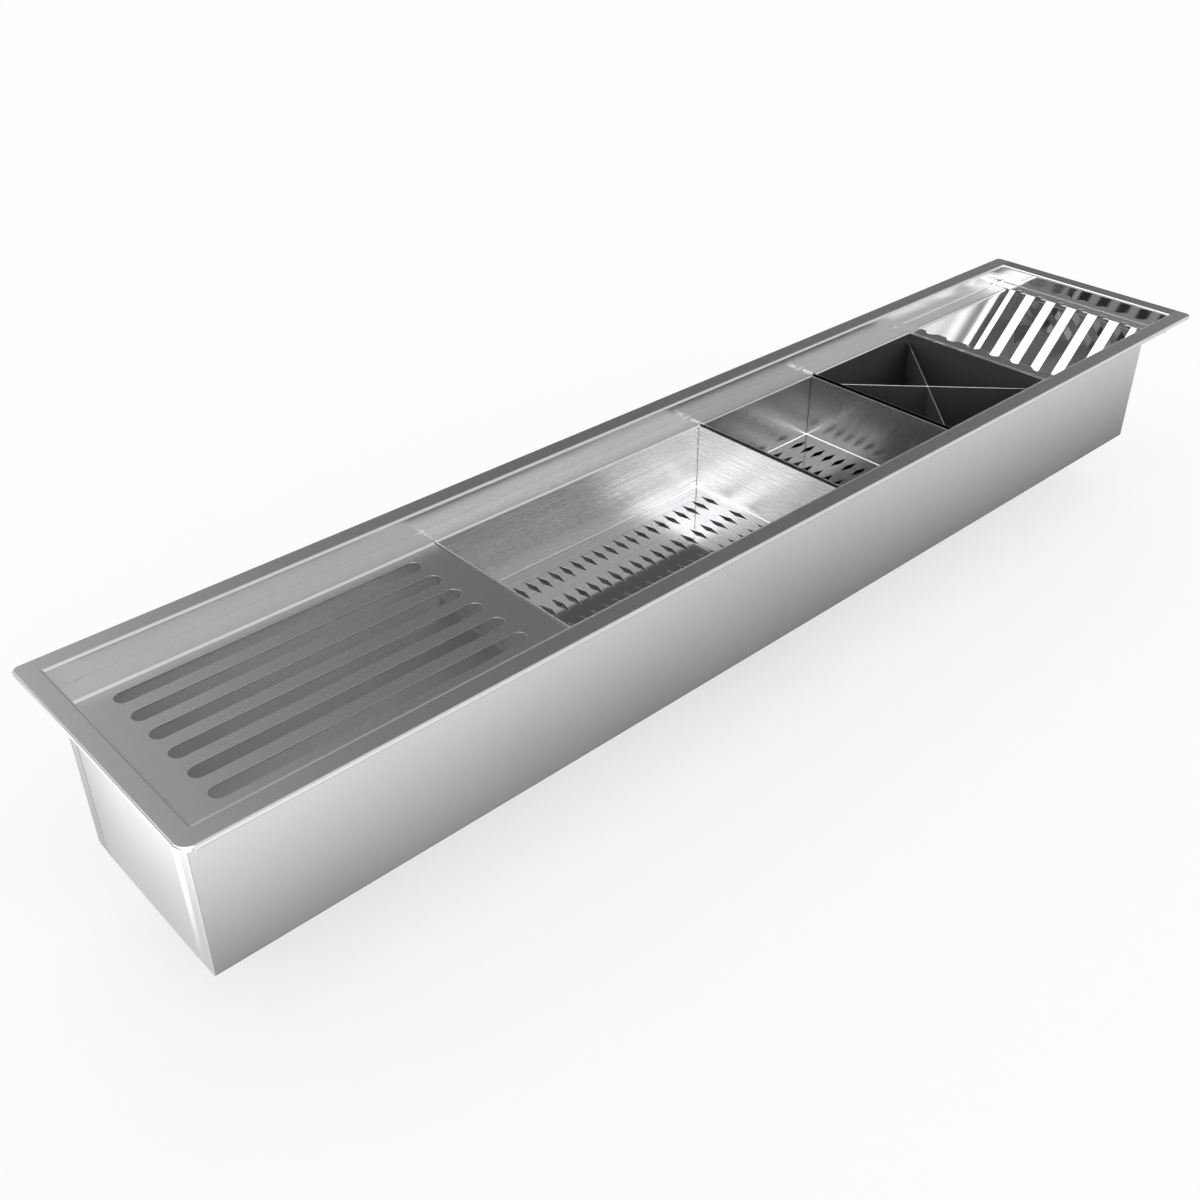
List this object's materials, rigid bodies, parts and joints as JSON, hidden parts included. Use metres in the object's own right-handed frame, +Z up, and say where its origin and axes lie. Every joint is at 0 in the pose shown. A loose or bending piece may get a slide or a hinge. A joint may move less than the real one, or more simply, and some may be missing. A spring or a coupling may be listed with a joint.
{
  "type": "recessed wet trough",
  "caption": "Long narrow stainless trough that hangs in a worktop cut-out and carries lift-out racks, baskets and a cutlery box above a drain.",
  "frame": {"origin": "centre of the worktop cut-out, in the plane of the worktop's top surface, where the flange's rim and foam strips rest", "axes": "+X along the trough from the plate rack to the saucer rack, +Y to the back, +Z up"},
  "size_m": [1, 0.203, 0.168],
  "materials": {
    "trough_steel": "satin stainless, brushed along the trough",
    "insert_steel": "satin stainless",
    "basket_steel": "stainless, brushed lengthways",
    "floor_steel": "polished stainless",
    "dark_steel": "dark polished stainless",
    "waste_steel": "polished stainless",
    "waste_plastic": "moulded polypropylene",
    "brass": "turned brass",
    "rubber": "black rubber",
    "foam": "closed-cell foam strip"
  },
  "bodies": {
    "trough": {"trough_channel": "trough_steel", "left_end_cap": "trough_steel", "right_end_cap": "trough_steel", "worktop_seal": "foam", "drain_flange": "waste_steel", "drain_upper_seal": "rubber", "drain_lower_seal": "rubber", "drain_body": "waste_plastic", "drain_insert": "brass", "drain_screw": "waste_steel"},
    "strainer": {"drain_strainer": "waste_steel"},
    "plate_rack": {"plate_rack": "insert_steel"},
    "glass_tray": {"glass_tray_walls": "basket_steel", "glass_tray_floor": "floor_steel"},
    "basket": {"basket_walls": "basket_steel", "basket_floor": "floor_steel"},
    "cutlery_box": {"cutlery_box": "dark_steel", "cutlery_floor": "dark_steel"},
    "divider_a": {"divider_a": "dark_steel"},
    "divider_b": {"divider_b": "dark_steel"},
    "saucer_rack": {"v_rack": "insert_steel"}
  },
  "joints": [
    {"name": "plate_rack_lift", "type": "slide", "parent": "trough", "child": "plate_rack", "axis": [0, 0, 1], "range_m": [0, 0.06]},
    {"name": "glass_tray_lift", "type": "slide", "parent": "trough", "child": "glass_tray", "axis": [0, 0, 1], "range_m": [0, 0.08]},
    {"name": "basket_lift", "type": "slide", "parent": "trough", "child": "basket", "axis": [0, 0, 1], "range_m": [0, 0.08]},
    {"name": "cutlery_box_lift", "type": "slide", "parent": "trough", "child": "cutlery_box", "axis": [0, 0, 1], "range_m": [0, 0.125]},
    {"name": "saucer_rack_lift", "type": "slide", "parent": "trough", "child": "saucer_rack", "axis": [0, 0, 1], "range_m": [0, 0.095]},
    {"name": "strainer_lift", "type": "slide", "parent": "trough", "child": "strainer", "axis": [0, 0, 1], "range_m": [0, 0.035]},
    {"name": "divider_a_lift", "type": "slide", "parent": "cutlery_box", "child": "divider_a", "axis": [0, 0, 1], "range_m": [0, 0.105]},
    {"name": "divider_b_lift", "type": "slide", "parent": "divider_a", "child": "divider_b", "axis": [0, 0, 1], "range_m": [0, 0.06]}
  ]
}
